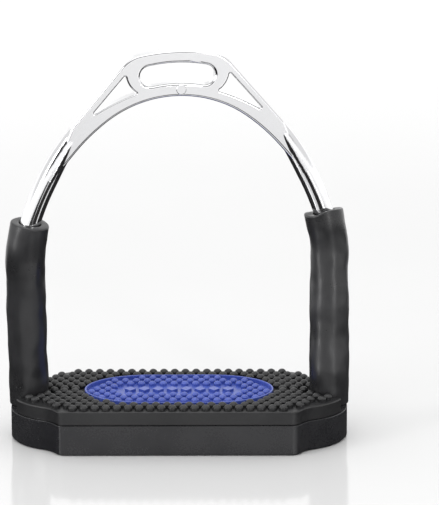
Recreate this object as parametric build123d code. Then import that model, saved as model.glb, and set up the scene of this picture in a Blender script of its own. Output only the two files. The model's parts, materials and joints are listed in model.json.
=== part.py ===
"""Flexible stirrup iron: a polished bow on two jointed legs in rubber sleeves, over a studded tread.

Frame: X runs across the tread from leg to leg, the front faces -Y, and +Z is up.
The origin is the centre of the tread's underside. Each half is the other turned
half a turn about Z, because the bow is set at an angle to the tread.
"""
from build123d import *
from math import acos, atan2, cos, degrees, radians, sin, sqrt, tan
import os

# tread
TREAD_FLAT = (112.0, 64.0)      # length and depth of the straight-sided middle
TREAD_CORNER = 5.0
LOBE_X = 51.7                   # centre of each rounded end
LOBE_R = 25.3
LOBE_BLEND = 15.0               # hollow corner between middle and end
BASE_H = 14.0
BASE_EDGE = 0.9
TOP_EDGE = 0.2
PANEL = (98.0, 46.0, 8.0, 1.0)  # recess under the base: length, depth, corner, height
COLLAR = (9.1, 1.5)             # boss under each sleeve: radius, height
PAD_INSET = 0.5
PAD_GROOVE = (0.9, 0.6)         # groove round the pad's foot: depth, height
PAD_H = 6.5
NOTCH_R = 9.3
PAD_TOP = BASE_H + PAD_H

# studs
PITCH = 5.0
PAD_STUD = (1.95, 2.5, 1.3)     # radius, height, rise of the dome
INSERT_STUD = (1.72, 2.1, 1.1)
FIRST_ROW = 2.07                # first rows are this far from the centre line
EDGE_MARGIN = 2.9
LATTICE_X = 61.0                # the regular lattice ends here
LOBE_STUDS = ((62.7, 10.3), (67.8, 11.6), (65.0, 14.9))
LONE_STUD_X = 57.1

# insert
INSERT_X = 14.0                 # centre of each elliptical end
INSERT = (29.2, 21.7)           # half length and half depth of the ends
INSERT_FLOOR = PAD_TOP - 0.2
INSERT_BED = 17.6
RIM_W = 0.8
RIM_TOP = 22.2
BAND_X = 28.5                   # the smooth band is twice this long
BAND_Y = (-4.0, 7.5)
LOZENGE = (5.4, 6.6, 1.3)       # width, depth and height of each raised mark
LOZENGES = 8
LOZENGE_PITCH = 6.4
BOSS_R = 3.4
BOSS_AT = (26.0, 10.5)
BOSS_FOOT = 9.0

# legs
LEG_X = 68.7
YAW = 9.0                       # the bow's angle to the tread
PITCH_LOW_Z = 30.0
SWAY_LOW_Z = 41.0
SWAY_HIGH_Z = 77.0
PITCH_HIGH_Z = 88.0
PIN_R = 1.5
PIN_FIT = 0.04
EYE_R = 3.5
TANG_T = 4.0
SIDE_GAP = 0.3
FORK_W = 10.0
FORK_D = 7.2
FORK_BACK = 6.4                 # height of the block behind the bow's forks
POST_R = 6.2
POST_FOOT = 7.0
SHOULDER_Z = 24.0
SLEEVE_R = 8.9
SLEEVE_BORE = 7.0
SLEEVE_BEND = 35.0              # radius of its bends
MOUTH_ANGLE = 72.1              # it ends at this angle of the bow's arm
LIP = (5.2, 5.0)                # its mouth grips the arm: radius, length

# bow, drawn in its own plane: s runs along the bow, z is up
BOW_T = 7.0
TOP_Z = 179.9
TOP_R = 87.0
SHOULDER_ANGLE = 14.25          # where the top arc ends, from upright
SHOULDER_ROUND = 14.0
ARM_C = (-49.6, 65.4)           # centre of the right arm's arcs
ARM_AXIS_R = 122.4
ARM_R = 4.6
SIDE_R = 126.6
SIDE_FROM = 49.3
SIDE_TO = 50.5
WEB_IN = 60.0                   # where the plate's outer edge reaches the arm's axis
WEB_END = 65.0
# the arm thickens as it leaves the plate: angle, radius, and how far its centre lies off the axis
NECK = ((50.0, 3.0, 1.2), (56.0, 4.1, 0.4), (62.0, ARM_R, 0.0))
CROWN_R = 52.6                  # underside of the crown
CROWN_Z = 106.7
CROWN_TO = 36.0
FLARE_R = 86.8
FLARE_TO = 49.8
OUTER_ROUND = 1.0
INNER_ROUND = 1.2
SLOT = (36.0, 11.6, 169.3)      # leather slot: length, height, middle z
SLOT_RISE = 1.2                 # the slot bows upward by this much
SLOT_ROUND = 1.2
WINDOW_ROUND = 0.7
BUTTON = (1.5, 162.4, 2.25, 0.35)  # small round button: s, z, radius, height

# screws
POST_SCREW = (2.45, 4.6, 2.8)   # shank radius, head radius, head height
PAD_SCREW = (1.95, 3.4, 2.4)
POST_SEAT = 4.0                 # top of the washer under each post
PAD_SEAT = 4.3                  # the insert's screws pull against this height
SCREW_REACH = 10.0              # thread above the head
WASHER_T = 0.8


def quadrants(x, y):
    """The four mirror images of a point."""
    return [(sx * x, sy * y) for sx in (-1, 1) for sy in (-1, 1)]


def oval(half_length, half_depth, centre_x, flat):
    """A rectangle with an elliptical end on each side."""
    shape = Rectangle(*flat)
    for side in (-1, 1):
        shape += Pos(side * centre_x, 0) * Ellipse(half_length, half_depth)
    return shape


def arc_about(centre, start, end):
    """The shorter arc about a centre from one point to another."""
    radius = Vector(*start) - Vector(*centre)
    middle = (Vector(*start) + Vector(*end)) * 0.5 - Vector(*centre)
    way = middle.normalized() * radius.length + Vector(*centre)
    return ThreePointArc(start, (way.X, way.Y), end)


def tread_outline(inset=0.0):
    """Straight-sided middle with a rounded lobe at each end, drawn in by inset."""
    half_l, half_d = TREAD_FLAT[0] / 2, TREAD_FLAT[1] / 2
    corner = Vector(half_l - TREAD_CORNER, half_d - TREAD_CORNER)
    lobe = Vector(LOBE_X, 0)
    to_corner = TREAD_CORNER + LOBE_BLEND
    to_lobe = LOBE_R + LOBE_BLEND
    apart = (corner - lobe).length
    along = (to_lobe**2 - to_corner**2 + apart**2) / (2 * apart)
    across = sqrt(to_lobe**2 - along**2)
    way = (corner - lobe).normalized()
    hollow = lobe + way * along + Vector(way.Y, -way.X) * across
    from_corner = corner + (hollow - corner).normalized() * (TREAD_CORNER - inset)
    from_lobe = lobe + (hollow - lobe).normalized() * (LOBE_R - inset)
    flat_end = (corner.X, half_d - inset)
    first = (from_corner.X, from_corner.Y)
    second = (from_lobe.X, from_lobe.Y)
    quarter = Line((0, half_d - inset), flat_end)
    quarter += arc_about((corner.X, corner.Y), flat_end, first)
    quarter += arc_about((hollow.X, hollow.Y), first, second)
    quarter += arc_about((LOBE_X, 0), second, (LOBE_X + LOBE_R - inset, 0))
    half = quarter + mirror(quarter, Plane.YZ)
    return make_face(half + mirror(half, Plane.XZ))


def slab(sketch, low, high):
    """The sketch raised from one height to another."""
    return extrude(Pos(0, 0, low) * sketch, high - low)


def disc(x, y, radius, low, high):
    """An upright round bar."""
    return Pos(x, y, (low + high) / 2) * Cylinder(radius, high - low)


def turned(shape, side):
    """The right leg's piece, or the same piece turned half a turn for the left leg."""
    return shape if side > 0 else Rot(0, 0, 180) * shape


def tread_base():
    base = slab(tread_outline(), 0, BASE_H)
    base = chamfer(base.faces().sort_by(Axis.Z)[0].edges(), BASE_EDGE)
    base = fillet(base.faces().sort_by(Axis.Z)[-1].edges(), TOP_EDGE)
    for side in (-1, 1):
        collar = Pos(side * LEG_X, 0) * Circle(COLLAR[0])
        base += slab(collar & tread_outline(TOP_EDGE), BASE_H - 1, BASE_H + COLLAR[1])
    base -= slab(RectangleRounded(PANEL[0], PANEL[1], PANEL[2]), 0, PANEL[3])
    for side in (-1, 1):
        x = side * LEG_X
        base -= disc(x, 0, POST_R + 0.1, POST_FOOT, BASE_H + 2 * COLLAR[1])
        base -= disc(x, 0, POST_SCREW[0] + 0.3, 0, POST_FOOT)
        base -= disc(x, 0, POST_SCREW[1] + 0.6, 0, POST_SEAT)
    for x, y in quadrants(*BOSS_AT):
        base -= disc(x, y, BOSS_R + 0.2, BOSS_FOOT - 0.5, BASE_H)
        base -= disc(x, y, PAD_SCREW[0] + 0.2, 0, BOSS_FOOT)
        base -= disc(x, y, PAD_SCREW[1] + 0.4, 0, PAD_SEAT)
    return base


def stud(x, y, foot, sizes):
    """A short round stud with a domed top, its foot sunk into the floor it stands on."""
    radius, height, dome = sizes
    sphere = (radius**2 + dome**2) / (2 * dome)
    sunk = 0.4
    profile = Polyline((0, height), (0, -sunk), (radius, -sunk), (radius, height - dome))
    profile += RadiusArc((radius, height - dome), (0, height), -sphere)
    return Pos(x, y, foot) * revolve(make_face(Plane.XZ * profile), Axis.Z)


def rows():
    """Row heights above the centre line, and how far each row's first stud is from x = 0."""
    step = PITCH * sqrt(3) / 2
    return [(FIRST_ROW + k * step, PITCH / 2 if k % 2 == 0 else 0.0) for k in range(7)]


def row_points(y, shift, reach):
    """Stud places along one row, out to reach on both sides."""
    count = int(reach / PITCH) + 1
    places = [shift + PITCH * k for k in range(-count - 1, count + 1)]
    return [(x, y) for x in places if abs(x) <= reach]


def clear(x, y, sketch, margin):
    """True when a disc of the margin's radius about the point lies inside the sketch."""
    ring = Pos(x, y) * Circle(margin)
    return abs((ring & sketch).area - ring.area) < 1e-3


def pad_studs():
    """Stud places on the rubber pad."""
    land = tread_outline(PAD_INSET)
    hole = oval(*INSERT, INSERT_X, (2 * INSERT_X, 2 * INSERT[1]))
    found = []
    for y, shift in rows():
        for sign in (-1, 1):
            for x, yy in row_points(sign * y, shift, LATTICE_X):
                lone = abs(x) > LONE_STUD_X - 1 and y < PITCH
                outside = (abs(x) - INSERT_X) / (INSERT[0] + PAD_STUD[0]) if abs(x) > INSERT_X else 0
                apart = outside**2 + (yy / (INSERT[1] + PAD_STUD[0])) ** 2 > 1.0
                if apart and not lone and clear(x, yy, land, EDGE_MARGIN):
                    found.append((x, yy))
    for x, y in LOBE_STUDS:
        found += quadrants(x, y)
    return found + [(-LONE_STUD_X, 0.0), (LONE_STUD_X, 0.0)]


def tread_pad():
    land = tread_outline(PAD_INSET)
    for side in (-1, 1):
        notch = Pos(side * (LEG_X + 0.2), 0) * Circle(NOTCH_R)
        notch += Pos(side * (LEG_X + 10), 0) * Rectangle(20, 2 * NOTCH_R)
        land -= notch
    pad = slab(land, BASE_H, PAD_TOP)
    groove = tread_outline(PAD_INSET) - tread_outline(PAD_INSET + PAD_GROOVE[0])
    tips = [e for e in pad.edges().filter_by(Axis.Z) if abs(e.center().X) > LEG_X + 2]
    pad = fillet(tips, 1.6)
    pad = fillet(pad.faces().sort_by(Axis.Z)[-1].outer_wire().edges(), 0.6)
    pocket = oval(INSERT[0] + 0.15, INSERT[1] + 0.15, INSERT_X, (2 * INSERT_X, 2 * INSERT[1] + 0.3))
    pad -= slab(pocket, INSERT_BED, PAD_TOP) + slab(groove, BASE_H, BASE_H + PAD_GROOVE[1])
    for x, y in quadrants(*BOSS_AT):
        pad -= disc(x, y, BOSS_R + 0.2, BASE_H, INSERT_BED)
    return pad + [stud(x, y, PAD_TOP, PAD_STUD) for x, y in pad_studs()]


def insert_studs():
    """Stud places inside the insert's rim, leaving the band with the lozenges smooth."""
    found = []
    step = PITCH * sqrt(3) / 2
    for k in range(-5, 5):
        y = FIRST_ROW + k * step
        for x, yy in row_points(y, PITCH / 2 if k % 2 == 0 else 0.0, INSERT_X + INSERT[0]):
            out = max(abs(x) - INSERT_X, 0) / (INSERT[0] - INSERT_STUD[0] - RIM_W)
            inside = out**2 + (yy / (INSERT[1] - INSERT_STUD[0] - RIM_W + 0.4)) ** 2 < 1.0
            banded = abs(x) < BAND_X and BAND_Y[0] < yy < BAND_Y[1]
            if inside and not banded:
                found.append((x, yy))
    return found


def pad_insert():
    outline = oval(*INSERT, INSERT_X, (2 * INSERT_X, 2 * INSERT[1]))
    inner = oval(INSERT[0] - RIM_W, INSERT[1] - RIM_W, INSERT_X, (2 * INSERT_X, 2 * (INSERT[1] - RIM_W)))
    body = slab(outline, INSERT_BED, RIM_TOP)
    body -= slab(inner, INSERT_FLOOR, RIM_TOP)
    body = fillet(body.faces().sort_by(Axis.Z)[-1].edges(), RIM_W * 0.35)
    for k in range(LOZENGES):
        x = (k - (LOZENGES - 1) / 2) * LOZENGE_PITCH
        shape = Polygon((LOZENGE[0] / 2, 0), (0, LOZENGE[1] / 2), (-LOZENGE[0] / 2, 0), (0, -LOZENGE[1] / 2))
        mark = Pos(x, sum(BAND_Y) / 2) * fillet(shape.vertices(), 0.5)
        body += slab(mark, INSERT_FLOOR - 0.3, INSERT_FLOOR + LOZENGE[2])
    for x, y in quadrants(*BOSS_AT):
        body += disc(x, y, BOSS_R, BOSS_FOOT, INSERT_BED + 0.5)
        body -= disc(x, y, PAD_SCREW[0] + 0.05, BOSS_FOOT, INSERT_BED - 2)
    return body + [stud(x, y, INSERT_FLOOR, INSERT_STUD) for x, y in insert_studs()]


def lean_y(z):
    """How far the right leg's axis leans back at a height above its lower pitch pin."""
    top = LEG_X * tan(radians(YAW))
    return top * (z - PITCH_LOW_Z) / (PITCH_HIGH_Z - PITCH_LOW_Z)


def pin_bar(x, y, z, turn, radius, length):
    """A round bar lying across the leg, along X turned about Z."""
    return Pos(x, y, z) * Rot(0, 0, turn) * Rot(0, 90, 0) * Cylinder(radius, length)


def eye(x, y, z, turn, thick):
    """A round eye about a pin that lies along X turned about Z."""
    return pin_bar(x, y, z, turn, EYE_R, thick)


def cheek(x, y, low, high, turn, wide):
    """A block across the leg between two heights, wide along its pin."""
    return Pos(x, y, (low + high) / 2) * Rot(0, 0, turn) * Box(wide, FORK_D - 0.2, high - low)


def fork(x, y, pin_z, back_z, turn):
    """Two ears about a pin, joined beyond the reach of the eye between them."""
    body = cheek(x, y, min(pin_z, back_z), max(pin_z, back_z), turn, FORK_W)
    body += pin_bar(x, y, pin_z, turn, EYE_R, FORK_W)
    sign = 1 if back_z > pin_z else -1
    reach = pin_z + sign * (EYE_R + 0.4)
    low, high = sorted((pin_z - sign * (EYE_R + 1), reach))
    mouth = Pos(x, y, (low + high) / 2) * Rot(0, 0, turn) * Box(TANG_T + 2 * SIDE_GAP, FORK_D + 1, high - low)
    return body - mouth - pin_bar(x, y, pin_z, turn, PIN_R, FORK_W + 1)


def leg_post():
    post = disc(LEG_X, 0, POST_R, POST_FOOT, SHOULDER_Z)
    post = chamfer(post.edges().filter_by(GeomType.CIRCLE), 0.5)
    post += fork(LEG_X, 0, PITCH_LOW_Z, SHOULDER_Z - 1, 0)
    return post - disc(LEG_X, 0, POST_SCREW[0] + 0.05, POST_FOOT, POST_FOOT + 10)


def knuckle(tang_z, tang_y, tang_turn, fork_z, fork_y):
    """A block with an eye on one side and, a quarter turn round, a fork on the other."""
    sign = 1 if fork_z > tang_z else -1
    root = tang_z + sign * (EYE_R + 0.7)
    body = fork(LEG_X, fork_y, fork_z, root, 90)
    neck_low, neck_high = sorted((tang_z, root + sign * 0.8))
    neck = cheek(LEG_X, tang_y, neck_low, neck_high, tang_turn, TANG_T)
    body += neck + eye(LEG_X, tang_y, tang_z, tang_turn, TANG_T)
    return body - pin_bar(LEG_X, tang_y, tang_z, tang_turn, PIN_R + PIN_FIT, FORK_W)


def link():
    """A flat bar with an eye at each end, leaning from the lower fork to the upper one."""
    low_y = lean_y(SWAY_LOW_Z)
    high_y = lean_y(SWAY_HIGH_Z)
    half = TANG_T / 2
    straight = EYE_R + 1.2
    side = Polyline(
        (low_y - half, SWAY_LOW_Z - EYE_R),
        (low_y - half, SWAY_LOW_Z + straight),
        (high_y - half, SWAY_HIGH_Z - straight),
        (high_y - half, SWAY_HIGH_Z + EYE_R),
        (high_y + half, SWAY_HIGH_Z + EYE_R),
        (high_y + half, SWAY_HIGH_Z - straight),
        (low_y + half, SWAY_LOW_Z + straight),
        (low_y + half, SWAY_LOW_Z - EYE_R),
        close=True,
    )
    bar = Pos(LEG_X) * extrude(make_face(Plane.YZ * side), EYE_R, both=True)
    front = Pos(LEG_X, (SWAY_LOW_Z + SWAY_HIGH_Z) / 2) * SlotCenterToCenter(
        SWAY_HIGH_Z - SWAY_LOW_Z, 2 * EYE_R, rotation=90
    )
    bar &= extrude(Plane.XZ * front, 2 * SLEEVE_R, both=True)
    for z in (SWAY_LOW_Z, SWAY_HIGH_Z):
        bar -= pin_bar(LEG_X, lean_y(z), z, 90, PIN_R + PIN_FIT, FORK_W)
    return bar


def sleeve():
    """A rubber tube round the joints, bent to follow the leg up to the arm of the bow."""
    top_y = LEG_X * tan(radians(YAW))
    mouth = arm_point(MOUTH_ANGLE, ARM_AXIS_R)
    mouth_at = (mouth[0] * cos(radians(YAW)), mouth[0] * sin(radians(YAW)), mouth[1])
    foot = (LEG_X, 0, BASE_H + COLLAR[1])
    path = FilletPolyline(
        foot,
        (LEG_X, 0, PITCH_LOW_Z),
        (LEG_X, top_y, PITCH_HIGH_Z + 1),
        mouth_at,
        radius=SLEEVE_BEND,
    )
    tube = sweep(across(path, 0) * Circle(SLEEVE_R), path)
    tube -= sweep(across(path, 0) * Circle(SLEEVE_BORE), path)
    wall = (SLEEVE_R + SLEEVE_BORE) / 2
    return tube + extrude(across(path, 1) * (Circle(wall) - Circle(LIP[0])), -LIP[1])


def arm_point(angle, radius):
    """A point of the right arm's arcs, by its angle from upright."""
    return (ARM_C[0] + radius * sin(radians(angle)), ARM_C[1] + radius * cos(radians(angle)))


def arc_point(centre, radius, angle):
    """A point on a circle by its angle from upright."""
    return (centre[0] + radius * sin(radians(angle)), centre[1] + radius * cos(radians(angle)))


def crown_outline():
    """The flat plate of the bow, from the crown down into both arms."""
    top_c = (0, TOP_Z - TOP_R)
    corner = arc_point(top_c, TOP_R, SHOULDER_ANGLE)
    outer = [arm_point(a, SIDE_R) for a in (SIDE_FROM, (SIDE_FROM + SIDE_TO) / 2, SIDE_TO)]
    web_in = arm_point(WEB_IN, ARM_AXIS_R)
    web_mid = arm_point((WEB_IN + WEB_END) / 2, ARM_AXIS_R)
    web_end = arm_point(WEB_END, ARM_AXIS_R)
    crown_c = (0, CROWN_Z)
    crown_end = arc_point(crown_c, CROWN_R, CROWN_TO)
    flare_c = arc_point(crown_c, CROWN_R - FLARE_R, CROWN_TO)
    flare_mid = arc_point(flare_c, FLARE_R, (CROWN_TO + FLARE_TO) / 2)
    flare_end = arc_point(flare_c, FLARE_R, FLARE_TO)
    half = Line((0, TOP_Z), (0, CROWN_Z + CROWN_R))
    half += ThreePointArc((0, TOP_Z), arc_point(top_c, TOP_R, SHOULDER_ANGLE / 2), corner)
    half += Line(corner, outer[0])
    half += ThreePointArc(*outer)
    half += Line(outer[2], web_in)
    half += ThreePointArc(web_in, web_mid, web_end)
    half += Line(web_end, flare_end)
    half += ThreePointArc(flare_end, flare_mid, crown_end)
    half += ThreePointArc(crown_end, arc_point(crown_c, CROWN_R, CROWN_TO / 2), (0, CROWN_Z + CROWN_R))
    face = make_face(half)
    corner_vertex = face.vertices().sort_by_distance((corner[0], corner[1], 0))[0]
    face = fillet(corner_vertex, SHOULDER_ROUND)
    return face + mirror(face, Plane.YZ)


def slot_outline():
    """The leather slot inside its rounded rim: round ended and bowed upward with the crown."""
    length, height, middle = SLOT
    length, radius = length - 2 * SLOT_ROUND, height / 2 - SLOT_ROUND
    span = length / 2 - radius
    bend = (span**2 + SLOT_RISE**2) / (2 * SLOT_RISE)
    centre = (0, middle + SLOT_RISE / 2 - bend)
    angle = degrees(atan2(span, bend - SLOT_RISE))
    outer = [arc_point(centre, bend + radius, a) for a in (-angle, 0, angle)]
    inner = [arc_point(centre, bend - radius, a) for a in (angle, 0, -angle)]
    right = arc_point(arc_point(centre, bend, angle), radius, angle + 90)
    left = arc_point(arc_point(centre, bend, -angle), radius, -angle - 90)
    rim = ThreePointArc(*outer) + ThreePointArc(outer[2], right, inner[0])
    rim += ThreePointArc(*inner) + ThreePointArc(inner[2], left, outer[0])
    return make_face(rim)


def window_outline():
    """The three-cornered window beside the slot, on the right."""
    top = (22.6, 171.6)
    tip = (44.4, 146.4)
    heel = (16.0, 161.0)
    edge = Line(top, tip)
    edge += ThreePointArc(tip, (28.4, 156.3), heel)
    edge += ThreePointArc(heel, (21.0, 164.9), top)
    face = offset(make_face(edge), -WINDOW_ROUND)
    return fillet(face.vertices(), 0.5)


def arm_arc(start, end):
    """The arm's axis between two angles from upright."""
    points = [arm_point(angle, ARM_AXIS_R) for angle in (start, (start + end) / 2, end)]
    return Plane.XZ * ThreePointArc(*points)


def across(path, share):
    """The plane square to a path at a share of its length."""
    return Plane(origin=path @ share, z_dir=path % share)


def arm():
    """The round arm on the right, from inside the plate to the fork at its foot."""
    arm_foot = PITCH_HIGH_Z + FORK_BACK - 1 - ARM_C[1]
    foot_angle = degrees(acos(arm_foot / ARM_AXIS_R))
    rings = []
    for angle, radius, off in NECK:
        s, z = arm_point(angle, ARM_AXIS_R + off)
        along = (cos(radians(angle)), 0, -sin(radians(angle)))
        rings.append(Plane(origin=(s, 0, z), x_dir=(0, 1, 0), z_dir=along) * Circle(radius))
    axis = arm_arc(NECK[-1][0], foot_angle)
    rod = loft(rings) + sweep(across(axis, 0) * Circle(ARM_R), axis)
    pin_s = LEG_X / cos(radians(YAW))
    return rod + fork(pin_s, 0, PITCH_HIGH_Z, PITCH_HIGH_Z + FORK_BACK, 0)


def bow():
    plate = extrude(Plane.XZ * crown_outline(), BOW_T / 2, both=True)
    faces = plate.faces().sort_by(Axis.Y)
    rims = faces[0].edges() + faces[-1].edges()
    over = [e for e in rims if on_outside(e)]
    plate = fillet(over, OUTER_ROUND)
    faces = plate.faces().sort_by(Axis.Y)
    under = [e for e in faces[0].edges() + faces[-1].edges() if on_underside(e)]
    plate = fillet(under, INNER_ROUND)
    holes = [slot_outline(), window_outline(), mirror(window_outline(), Plane.YZ)]
    for hole, rounding in zip(holes, (SLOT_ROUND, WINDOW_ROUND, WINDOW_ROUND)):
        plate -= extrude(Plane.XZ * hole, BOW_T, both=True)
        middle = (Plane.XZ * hole).bounding_box().center()
        faces = plate.faces().sort_by(Axis.Y)
        rims = [w for f in (faces[0], faces[-1]) for w in f.inner_wires()]
        rims = [w for w in rims if (w.bounding_box().center() - middle).length < BOW_T]
        plate = fillet([e for w in rims for e in w.edges()], rounding)
    half = split(plate + arm(), bisect_by=Plane.YZ, keep=Keep.TOP)
    whole = half + Rot(0, 0, 180) * half
    button = Plane.XZ.offset(BOW_T / 2 - 2) * Pos(BUTTON[0], BUTTON[1]) * Circle(BUTTON[2])
    button = extrude(button, 2 + BUTTON[3])
    rim = button.faces().sort_by(Axis.Y)[0].edges()
    whole += chamfer(rim, BUTTON[3] * 0.6)
    return Rot(0, 0, YAW) * whole


def on_underside(edge):
    """True for the rim edges that run along the bow's inner arc."""
    middle = edge @ 0.5
    return sqrt(middle.X**2 + (middle.Z - CROWN_Z) ** 2) < CROWN_R + 2.5


def on_outside(edge):
    """True for the rim edges of the bow's outer arc, down to where it meets the arms."""
    middle = edge @ 0.5
    return middle.Z > arm_point(WEB_IN, SIDE_R)[1] and not on_underside(edge)


def pin(z, y, turn):
    """A plain pin with slightly eased ends."""
    bar = Cylinder(PIN_R, FORK_W - 0.4)
    bar = chamfer(bar.edges().filter_by(GeomType.CIRCLE), 0.25)
    return Pos(LEG_X, y, z) * Rot(0, 0, turn) * Rot(0, 90, 0) * bar


def screw(x, y, sizes, seat):
    """A socket-head screw put in from below, its head's upper face at seat."""
    shank, head, tall = sizes
    body = disc(x, y, head, seat - tall, seat)
    body = chamfer(body.edges().filter_by(GeomType.CIRCLE).sort_by(Axis.Z)[0], 0.3)
    body += disc(x, y, shank, seat - 0.5, seat + SCREW_REACH)
    socket = Pos(x, y, seat - tall) * RegularPolygon(head * 0.5, 6)
    return body - extrude(socket, tall * 0.55)


def washer(x, low):
    top = low + WASHER_T
    return disc(x, 0, POST_SCREW[1] + 0.3, low, top) - disc(x, 0, POST_SCREW[0] + 0.15, low, top)


def main():
    os.makedirs("parts", exist_ok=True)
    under_post = POST_SEAT - WASHER_T
    nodes = {
        "bow": bow(),
        "tread_base": tread_base(),
        "tread_pad": tread_pad(),
        "pad_insert": pad_insert(),
        "post_screws": Compound(
            [screw(side * LEG_X, 0, POST_SCREW, under_post).solid() for side in (-1, 1)]
        ),
        "post_washers": Compound([washer(side * LEG_X, under_post).solid() for side in (-1, 1)]),
        "insert_screws": Compound(
            [screw(x, y, PAD_SCREW, PAD_SEAT).solid() for x, y in quadrants(*BOSS_AT)]
        ),
    }
    leg = {
        "leg_post": leg_post(),
        "lower_knuckle": knuckle(PITCH_LOW_Z, 0, 0, SWAY_LOW_Z, lean_y(SWAY_LOW_Z)),
        "leg_link": link(),
        "upper_knuckle": knuckle(PITCH_HIGH_Z, lean_y(PITCH_HIGH_Z), YAW, SWAY_HIGH_Z, lean_y(SWAY_HIGH_Z)),
        "lower_pitch_pin": pin(PITCH_LOW_Z, 0, 0),
        "lower_sway_pin": pin(SWAY_LOW_Z, lean_y(SWAY_LOW_Z), 90),
        "upper_sway_pin": pin(SWAY_HIGH_Z, lean_y(SWAY_HIGH_Z), 90),
        "upper_pitch_pin": pin(PITCH_HIGH_Z, lean_y(PITCH_HIGH_Z), YAW),
        "sleeve": sleeve(),
    }
    for name, shape in leg.items():
        nodes[name + "_right"] = turned(shape, 1)
        nodes[name + "_left"] = turned(shape, -1)
    for name, shape in nodes.items():
        export_step(shape, "parts/" + name + ".step")


main()
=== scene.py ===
# Flexible stirrup iron: materials for the CAD nodes, the two rubber sleeves, floor, light and camera.
import bpy
import json
from math import cos, pi, radians, sin, tan
from mathutils import Matrix, Vector, noise


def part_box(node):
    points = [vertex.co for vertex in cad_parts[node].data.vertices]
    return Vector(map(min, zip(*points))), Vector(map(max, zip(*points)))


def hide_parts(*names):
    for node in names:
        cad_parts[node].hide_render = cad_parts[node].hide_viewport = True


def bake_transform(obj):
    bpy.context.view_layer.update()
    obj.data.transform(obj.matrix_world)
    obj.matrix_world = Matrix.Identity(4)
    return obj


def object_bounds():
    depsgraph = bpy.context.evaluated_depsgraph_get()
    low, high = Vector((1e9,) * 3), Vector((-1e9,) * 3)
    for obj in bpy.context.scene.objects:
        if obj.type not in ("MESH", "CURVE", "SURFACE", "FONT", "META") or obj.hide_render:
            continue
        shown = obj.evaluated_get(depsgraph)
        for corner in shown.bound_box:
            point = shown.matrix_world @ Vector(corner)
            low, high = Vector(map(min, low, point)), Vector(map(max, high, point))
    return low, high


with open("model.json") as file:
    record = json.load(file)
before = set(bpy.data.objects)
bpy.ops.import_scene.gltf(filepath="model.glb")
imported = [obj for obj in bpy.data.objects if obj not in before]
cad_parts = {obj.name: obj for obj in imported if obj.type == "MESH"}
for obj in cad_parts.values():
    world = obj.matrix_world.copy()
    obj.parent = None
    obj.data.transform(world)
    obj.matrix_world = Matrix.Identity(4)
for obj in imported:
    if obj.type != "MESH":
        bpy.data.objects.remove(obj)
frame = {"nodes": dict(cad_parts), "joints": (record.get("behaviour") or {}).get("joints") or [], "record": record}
cad_low, cad_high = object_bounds()
MM = 0.001
JOINTS = {joint["name"]: joint for joint in frame["joints"]}

# camera, fitted to the tread's stud grid
FOCAL = 230.66                  # mm, on a sensor 36 mm long
TARGET = Vector((18.766, 0.0, 86.38)) * MM
DISTANCE = 1.4658
ELEVATION = radians(14.681)
YAW = radians(0.4024)
ROLL = radians(-0.2175)

# the arms of the bow in its own plane, as in the part, in mm
BOW_TURN = radians(9)
ARM_CENTRE = (-49.6, 65.4)
ARM_REACH = 122.4
MOUTH_ANGLE = radians(72.1)     # where the sleeves end on the arms

# sleeves, in mm
SLEEVE_R = 8.9
BORE = 7.0
LIP_BORE = 5.0
LIP = 6.0
MOUTH_LEAN = {"left": radians(6), "right": radians(-10)}  # towards the front, past square
BEND_R = 35.0
SEAMS = (35.5, 59.0, 82.5)      # heights between the joints, where a sleeve is parted
STEP = 1.0
SIDES = 96
EDGE = 0.7                      # rounding of the cut ends
LIP_TAPER = 2.0                 # length over which the bore narrows to the lip
CUT_REACH = 7.0                 # length over which the upper end turns uneven
CALM = (2.0, 10.0)              # the waves grow between these lengths from the foot
WAVES = ((0.62, 0.9, 13.0), (0.22, 1.6, 6.0))  # height, change round the sleeve, length along it
END_STEPS = 4                   # facets of the rounding at the mouth
FOOT_STEPS = 3
CORNER_STEPS = 16
HALVINGS = 40

# Black cards on the floor: from and to azimuth in degrees, near and far edge in metres.
# Azimuth 0 is in front of the object and 90 to its right.
CARDS = (
    (60, 300, 0.001, 0.165),
    (-180, 180, 0.165, 0.3),
    (-120, 8, 0.3, 0.9),
    (8, 42, 0.3, 0.38),
    (42, 130, 0.3, 0.9),
)
CARD_STEP = 2                   # degrees
CARD_LIFT = 0.2 * MM

# lights: azimuth and elevation in degrees, distance, width and height in metres, power in watts
LIGHTS = {
    "roof": (0, 80, 1.0, 0.9, 0.9, 1.5),
    "right_strip": (28, 18, 1.3, 0.14, 0.8, 2.4),
    "left_wall": (-60, 18, 1.2, 0.3, 0.8, 5.0),
}
LIGHTS_AIM = Vector((0, 0, 0.09))

FLOOR_HALF = 6.0
FLOOR_GAP = 0.05 * MM

# Bands of the room: where each starts and ends along a direction's Y or Z, and the light before and after.
FRONT = (-0.75, -0.25, 1.0, 0.0)
ABOVE_FLOOR = (0.22, 0.32, 0.0, 1.0)
UNDER_ROOF = (0.60, 0.75, 1.0, 0.0)
DARKNESS = (0.0, 1.0, 1.0, 0.08)
OVERHEAD = (0.7, 0.8, 1.0, 1.5)
HORIZON = (0.18, 0.26, 1.4, 1.0)

PATCHES = 45.0                  # patches in the rubber, per metre


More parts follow.
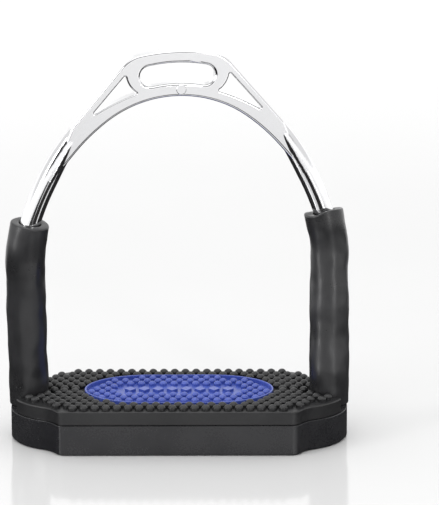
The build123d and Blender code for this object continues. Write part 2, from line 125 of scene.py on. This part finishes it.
class Look:
    """A material and short calls that add nodes to it."""

    def __init__(self, name, **values):
        self.material = bpy.data.materials.new(name)
        self.material.use_nodes = True
        self.tree = self.material.node_tree
        self.shader = self.tree.nodes["Principled BSDF"]
        for socket, value in values.items():
            self.shader.inputs[socket.replace("_", " ")].default_value = value
        self.place = self.add("ShaderNodeTexCoord").outputs["Object"]

    def add(self, kind, **inputs):
        node = self.tree.nodes.new(kind)
        for name, value in inputs.items():
            self.feed(node.inputs[name.replace("_", " ")], value)
        return node

    def feed(self, socket, value):
        if isinstance(value, bpy.types.NodeSocket):
            self.tree.links.new(value, socket)
        else:
            socket.default_value = value

    def noise(self, scale, detail=2.0, stretch=(1.0, 1.0, 1.0)):
        """Smooth noise from 0 to 1, with features of about 1/scale metres."""
        place = self.add("ShaderNodeMapping", Vector=self.place, Scale=stretch).outputs["Vector"]
        return self.add("ShaderNodeTexNoise", Vector=place, Scale=scale, Detail=detail).outputs["Fac"]

    def spread(self, value, low, high, start=0.35, end=0.65):
        """The value's range start to end, spread over low to high."""
        node = self.add("ShaderNodeMapRange", Value=value)
        for name, number in (("From Min", start), ("From Max", end), ("To Min", low), ("To Max", high)):
            node.inputs[name].default_value = number
        return node.outputs["Result"]

    def colours(self, value, first, second):
        node = self.tree.nodes.new("ShaderNodeMix")
        node.data_type = "RGBA"
        self.feed(node.inputs[0], value)
        node.inputs[6].default_value = (*first, 1.0)
        node.inputs[7].default_value = (*second, 1.0)
        return node.outputs[2]

    def math(self, operation, a, b):
        node = self.tree.nodes.new("ShaderNodeMath")
        node.operation = operation
        self.feed(node.inputs[0], a)
        self.feed(node.inputs[1], b)
        return node.outputs[0]

    def bump(self, height, depth, under=None):
        """Raises the surface by up to depth, in metres."""
        node = self.add("ShaderNodeBump", Height=height, Distance=depth, Strength=1.0)
        if under is not None:
            self.feed(node.inputs["Normal"], under)
        return node.outputs["Normal"]

    def set(self, **links):
        for socket, value in links.items():
            self.feed(self.shader.inputs[socket.replace("_", " ")], value)
        return self.material


def steel(name, first, second, smooth, rough, scratch):
    """Polished metal: a faint haze and hairline polishing marks."""
    look = Look(name, Metallic=1.0)
    haze = look.noise(60.0, 3.0)
    marks = look.noise(900.0, 3.0, (1.0, 1.0, 0.08))
    blur = look.math("ADD", look.spread(haze, smooth, rough), look.spread(marks, 0.0, 0.03))
    normal = look.bump(marks, scratch)
    return look.set(Base_Color=look.colours(haze, first, second), Roughness=blur, Normal=normal)


def rubber(name, first, second, smooth, rough, grain, depth):
    """Moulded rubber or nylon: fine grain, and patches a little lighter and duller."""
    look = Look(name, Specular_IOR_Level=0.5)
    patches = look.spread(look.noise(PATCHES, 4.0), 0.0, 1.0)
    fine = look.noise(grain, 4.0)
    blur = look.math("ADD", look.spread(patches, smooth, rough, 0.0, 1.0), look.spread(fine, -0.03, 0.03))
    swell = look.bump(look.noise(grain * 0.12, 2.0), depth * 3)
    normal = look.bump(fine, depth, under=swell)
    return look.set(Base_Color=look.colours(patches, first, second), Roughness=blur, Normal=normal)


def floor_look():
    """Glossy white acrylic sheet with barely visible handling haze."""
    look = Look("white_acrylic", Specular_IOR_Level=0.65)
    haze = look.noise(4.0, 3.0)
    blur = look.spread(haze, 0.06, 0.1)
    colour = look.colours(haze, (0.69, 0.69, 0.69), (0.71, 0.71, 0.71))
    return look.set(Base_Color=colour, Roughness=blur)


def card_look():
    """Dull black from above, clear from below."""
    look = Look("card_black", Roughness=0.9, Specular_IOR_Level=0.1)
    look.set(Base_Color=look.colours(look.noise(20.0), (0.010, 0.010, 0.010), (0.014, 0.014, 0.014)))
    below = look.add("ShaderNodeNewGeometry").outputs["Backfacing"]
    return look.set(Alpha=look.math("SUBTRACT", 1.0, below))


# per material: two base colours, least and greatest roughness, and the depth of its marks or grain
LOOKS = {
    "polished_steel": steel("mirror_steel", (0.69, 0.69, 0.70), (0.75, 0.75, 0.76), 0.04, 0.07, 1e-7),
    "joint_steel": steel("turned_steel", (0.50, 0.50, 0.52), (0.62, 0.62, 0.63), 0.22, 0.34, 2e-6),
    "zinc_screw": steel("zinc", (0.52, 0.54, 0.58), (0.66, 0.67, 0.66), 0.25, 0.38, 1e-6),
    "base_nylon": rubber(
        "black_nylon", (0.013, 0.013, 0.015), (0.021, 0.021, 0.023), 0.22, 0.32, grain=1400.0, depth=4e-6
    ),
    "pad_rubber": rubber(
        "pad_black", (0.008, 0.008, 0.009), (0.016, 0.016, 0.017), 0.38, 0.48, grain=1700.0, depth=1e-5
    ),
    "insert_rubber": rubber(
        "pad_blue", (0.046, 0.080, 0.37), (0.066, 0.105, 0.43), 0.28, 0.38, grain=1700.0, depth=6e-6
    ),
    "sleeve_rubber": rubber(
        "sleeve_black", (0.013, 0.013, 0.014), (0.024, 0.024, 0.026), 0.28, 0.38, grain=1300.0, depth=5e-6
    ),
}


def dress_nodes():
    """Gives every CAD node the finish of its slot in the record."""
    slots = {part["node"]: part["material_slot"] for part in frame["record"]["subparts"]}
    for name, node in frame["nodes"].items():
        for slot in node.material_slots:
            slot.link = "OBJECT"
            slot.material = LOOKS[slots[name]]


def ease(value, start, end):
    """0 before start, 1 after end, smooth between."""
    t = min(max((value - start) / (end - start), 0.0), 1.0)
    return t * t * (3 - 2 * t)


def rounded(points, radius):
    """The run of points with its corners rounded to about that radius."""
    path = [points[0]]
    for before, corner, after in zip(points, points[1:], points[2:]):
        back, ahead = (before - corner).normalized(), (after - corner).normalized()
        reach = radius * tan((pi - back.angle(ahead)) / 2)
        start, end = corner + back * reach, corner + ahead * reach
        for k in range(CORNER_STEPS + 1):
            t = k / CORNER_STEPS
            path.append(start.lerp(corner, t).lerp(corner.lerp(end, t), t))
    return path + [points[-1]]


class Path:
    """A run of points read by its length."""

    def __init__(self, points):
        self.points = points
        self.lengths = [0.0]
        for a, b in zip(points, points[1:]):
            self.lengths.append(self.lengths[-1] + (b - a).length)
        self.length = self.lengths[-1]

    def at(self, u):
        for k in range(1, len(self.points)):
            if u <= self.lengths[k] or k == len(self.points) - 1:
                a, b = self.lengths[k - 1], self.lengths[k]
                return self.points[k - 1].lerp(self.points[k], (u - a) / (b - a))

    def way(self, u, span=2.0):
        low, high = max(u - span, 0.0), min(u + span, self.length)
        return (self.at(high) - self.at(low)).normalized()

    def reach(self, z):
        """The length at which the path comes to a height."""
        low, high = 0.0, self.length
        for _ in range(HALVINGS):
            middle = (low + high) / 2
            low, high = (middle, high) if self.at(middle).z < z else (low, middle)
        return low


def sleeve_path(side):
    """The sleeve's axis in mm: up from its foot, through both pitch pivots, and along the arm."""
    turn = Matrix.Rotation(0.0 if side == "left" else pi, 3, "Z")
    low = Vector(JOINTS["tread_pitch_left"]["pos_m"]) / MM
    high = Vector(JOINTS["bow_pitch"]["pos_m"]) / MM + Vector((0, 0, 1))
    foot = Vector((low.x, low.y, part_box("sleeve_left")[0].z / MM))
    across = ARM_CENTRE[0] + ARM_REACH * sin(MOUTH_ANGLE)
    up = ARM_CENTRE[1] + ARM_REACH * cos(MOUTH_ANGLE)
    mouth = Vector((-across * cos(BOW_TURN), -across * sin(BOW_TURN), up))
    return Path(rounded([turn @ p for p in (foot, low, high, mouth)], BEND_R))


class Sleeve:
    """One rubber sleeve, made as four closed tubes that meet halfway between the pivots."""

    def __init__(self, side, seed, cut):
        self.side = side
        self.seed = Vector(seed)
        self.cut = cut
        self.path = sleeve_path(side)
        self.seams = [self.path.reach(z) for z in SEAMS]

    def lump(self, angle, u):
        """How far the outside stands off its plain radius."""
        around = Vector((cos(angle), sin(angle), 0))
        total = 0.0
        for order, (height, change, length) in enumerate(WAVES, 1):
            place = around * change + Vector((0, 0, u / length)) + self.seed * order
            total += height * noise.noise(place)
        return total * ease(u, *CALM)

    def bore(self, u):
        lip = self.path.length - LIP
        return BORE + (LIP_BORE - BORE) * ease(u, lip - LIP_TAPER, lip)

    def ring(self, u, radius):
        """A closed ring of points about the path; radius is a number or a function of the angle."""
        centre, way = self.path.at(u), self.path.way(u)
        share = ease(u, self.seams[-1] + 1, self.path.length - 2)
        mouth = Matrix.Rotation(MOUTH_LEAN[self.side], 3, "X") @ way
        level = Vector((0, 0, 1)).lerp(mouth, share).normalized()
        across = (Vector((1, 0, 0)) - way * way.x).normalized()
        deep = way.cross(across)
        points = []
        for k in range(SIDES):
            angle = 2 * pi * k / SIDES
            out = across * cos(angle) + deep * sin(angle)
            r = radius(angle) if callable(radius) else radius
            point = centre + r * (out - way * (out.dot(level) / way.dot(level)))
            points.append((point + way * self.uneven(angle, u)) * MM)
        return points

    def uneven(self, angle, u):
        """The upper end isn't cut square."""
        share = ease(u, self.path.length - CUT_REACH, self.path.length)
        turn = 0.0 if self.side == "left" else pi
        return share * sum(size * cos(order * (angle - turn) + phase) for order, size, phase in self.cut)

    def outside(self, u, less=0.0):
        return self.ring(u, lambda angle: SLEEVE_R - less + self.lump(angle, u))

    def rings(self, low, high):
        """Rings in order: up the outside, over the end, and down the bore."""
        count = max(2, round((high - low) / STEP))
        stations = [low + (high - low) * k / count for k in range(count + 1)]
        outer = [self.outside(u) for u in stations]
        inner = [self.ring(u, self.bore(u)) for u in reversed(stations)]
        if high >= self.path.length:
            outer = [self.outside(u) for u in stations if u < high - EDGE]
            inner = [self.ring(u, self.bore(u)) for u in reversed(stations) if u < high - EDGE]
            turns = [pi / 2 * k / END_STEPS for k in range(END_STEPS + 1)]
            rounding = [(high - EDGE * (1 - sin(a)), EDGE * (1 - cos(a))) for a in turns]
            outer += [self.outside(u, less) for u, less in rounding]
            inner = [self.ring(u, LIP_BORE + less) for u, less in reversed(rounding)] + inner
        if low <= 0:
            turns = [pi / 2 * k / FOOT_STEPS for k in range(FOOT_STEPS + 1)]
            outer = [self.outside(EDGE * (1 - cos(a)), EDGE * (1 - sin(a))) for a in turns] + outer[2:]
        return outer + inner

    def piece(self, name, low, high):
        rings = self.rings(low, high)
        vertices = [point for ring in rings for point in ring]
        faces = []
        for k in range(len(rings)):
            here, after = k * SIDES, (k + 1) % len(rings) * SIDES
            for i in range(SIDES):
                j = (i + 1) % SIDES
                faces.append((here + i, here + j, after + j, after + i))
        mesh = bpy.data.meshes.new(name)
        mesh.from_pydata(vertices, [], faces)
        mesh.polygons.foreach_set("use_smooth", [True] * len(faces))
        mesh.set_sharp_from_angle(angle=radians(50))
        mesh.validate()
        piece = bpy.data.objects.new(name, mesh)
        bpy.context.scene.collection.objects.link(piece)
        mesh.materials.append(LOOKS["sleeve_rubber"])
        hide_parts("sleeve_" + self.side)
        return piece

    def build(self):
        low, middle, high = self.seams
        end = self.path.length
        parts = (("foot", 0.0, low), ("shin", low, middle), ("knee", middle, high), ("mouth", high, end))
        knuckle = "knuckle_" + self.side
        link = "link_" + self.side
        # the bow hangs on the left knuckle, and the right one moves with it
        upper = "upper_knuckle_left"
        bends = (
            ("tread", "lower_" + knuckle, "tread_pitch_" + self.side),
            ("lower_" + knuckle, link, "sway_" + self.side),
            (link, "upper_" + knuckle, "level_" + self.side),
            (upper, "bow", "bow_pitch"),
        )
        for (part, start, end), (first, second, joint) in zip(parts, bends):
            piece = self.piece("sleeve_" + self.side + "_" + part, start, end)
            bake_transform(piece)


def camera():
    data = bpy.data.cameras.new("camera")
    data.sensor_width = 36.0
    data.lens = FOCAL
    data.clip_start = 0.05
    data.clip_end = 50.0
    back = Vector((sin(YAW) * cos(ELEVATION), -cos(YAW) * cos(ELEVATION), sin(ELEVATION)))
    right = Vector((0, 0, 1)).cross(back).normalized()
    up = back.cross(right)
    right, up = right * cos(ROLL) + up * sin(ROLL), up * cos(ROLL) - right * sin(ROLL)
    place = Matrix((right, up, back)).transposed().to_4x4()
    place.translation = TARGET + back * DISTANCE
    body = bpy.data.objects.new("camera", data)
    body.matrix_world = place
    bpy.context.scene.collection.objects.link(body)
    bpy.context.scene.camera = body


def floor():
    low = cad_low.z - FLOOR_GAP
    corners = [(x * FLOOR_HALF, y * FLOOR_HALF, low) for x, y in ((-1, -1), (1, -1), (1, 1), (-1, 1))]
    mesh = bpy.data.meshes.new("floor")
    mesh.from_pydata(corners, [], [(0, 1, 2, 3)])
    mesh.materials.append(floor_look())
    sheet = bpy.data.objects.new("floor", mesh)
    bpy.context.scene.collection.objects.link(sheet)


def cards():
    """Black cards round the object, which only the polished and satin surfaces mirror."""
    vertices, faces = [], []
    height = cad_low.z + CARD_LIFT
    for start, end, near, far in CARDS:
        for a in range(start, end, CARD_STEP):
            for turn, reach in ((a, near), (a, far), (a + CARD_STEP, far), (a + CARD_STEP, near)):
                vertices.append((reach * sin(radians(turn)), -reach * cos(radians(turn)), height))
            faces.append(tuple(range(len(vertices) - 4, len(vertices))))
    mesh = bpy.data.meshes.new("black_cards")
    mesh.from_pydata(vertices, [], faces)
    mesh.materials.append(card_look())
    sheet = bpy.data.objects.new("black_cards", mesh)
    bpy.context.scene.collection.objects.link(sheet)
    sheet.visible_camera = False
    sheet.visible_diffuse = False
    sheet.visible_shadow = False


def softbox(name, azimuth, elevation, distance, width, height, power):
    """An area light that faces the object."""
    a, e = radians(azimuth), radians(elevation)
    data = bpy.data.lights.new(name, "AREA")
    data.shape = "RECTANGLE"
    data.size, data.size_y = width, height
    data.energy = power
    lamp = bpy.data.objects.new(name, data)
    back = Vector((sin(a) * cos(e), -cos(a) * cos(e), sin(e)))
    lamp.location = LIGHTS_AIM + back * distance
    lamp.rotation_euler = back.to_track_quat("Z", "Y").to_euler()
    bpy.context.scene.collection.objects.link(lamp)


def room():
    """White paper all round, brighter overhead and at the horizon, with a dark band high up in front."""
    world = bpy.data.worlds.new("studio")
    world.use_nodes = True
    bpy.context.scene.world = world
    tree = world.node_tree

    def step(value, start, end, low, high):
        """A smooth step of the value from low to high between start and end."""
        node = tree.nodes.new("ShaderNodeMapRange")
        node.interpolation_type = "SMOOTHSTEP"
        tree.links.new(value, node.inputs["Value"])
        for name, number in (("From Min", start), ("From Max", end), ("To Min", low), ("To Max", high)):
            node.inputs[name].default_value = number
        return node.outputs["Result"]

    def product(first, *others):
        for other in others:
            node = tree.nodes.new("ShaderNodeMath")
            node.operation = "MULTIPLY"
            tree.links.new(first, node.inputs[0])
            tree.links.new(other, node.inputs[1])
            first = node.outputs[0]
        return first

    way = tree.nodes.new("ShaderNodeSeparateXYZ")
    tree.links.new(tree.nodes.new("ShaderNodeTexCoord").outputs["Generated"], way.inputs[0])
    y, z = way.outputs["Y"], way.outputs["Z"]
    dark = product(step(y, *FRONT), step(z, *ABOVE_FLOOR), step(z, *UNDER_ROOF))
    lit = product(step(dark, *DARKNESS), step(z, *OVERHEAD), step(z, *HORIZON))
    background = tree.nodes["Background"]
    tree.links.new(lit, background.inputs["Strength"])
    background.inputs["Color"].default_value = (1, 1, 1, 1)


dress_nodes()
Sleeve("left", (3.1, 0.4, 7.7), ((1, 0.3, 0.0),)).build()
Sleeve("right", (1.3, 5.2, 2.9), ((2, 0.35, 0.9), (3, 0.4, 0.6))).build()
camera()
floor()
cards()
room()
for name, values in LIGHTS.items():
    softbox(name, *values)
bpy.context.scene.view_settings.view_transform = "Standard"
